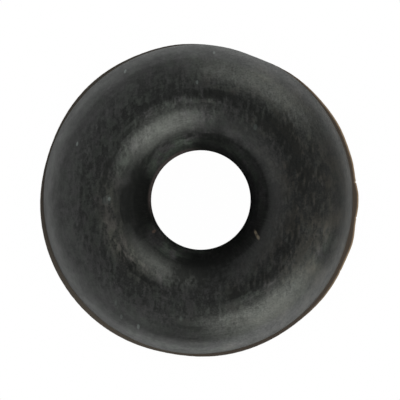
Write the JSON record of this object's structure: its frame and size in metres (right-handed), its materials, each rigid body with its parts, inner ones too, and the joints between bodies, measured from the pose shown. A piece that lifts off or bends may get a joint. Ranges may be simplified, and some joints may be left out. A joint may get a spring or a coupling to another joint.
{
  "type": "o-ring",
  "caption": "Small black rubber O-ring, moulded in one piece, with the trimmed seam still standing round its rim; it seals a shaft or a port.",
  "frame": {"origin": "centre of the bore, at the parting plane halfway up the ring", "axes": "+Z along the bore; +X and +Y lie in the parting plane, and the ring is thickest 161 degrees round from +X"},
  "size_m": [0.0045, 0.0044, 0.0015],
  "materials": {
    "rubber": "moulded, dull and dusty"
  },
  "bodies": {
    "root": {"o_ring": "rubber"}
  },
  "joints": []
}
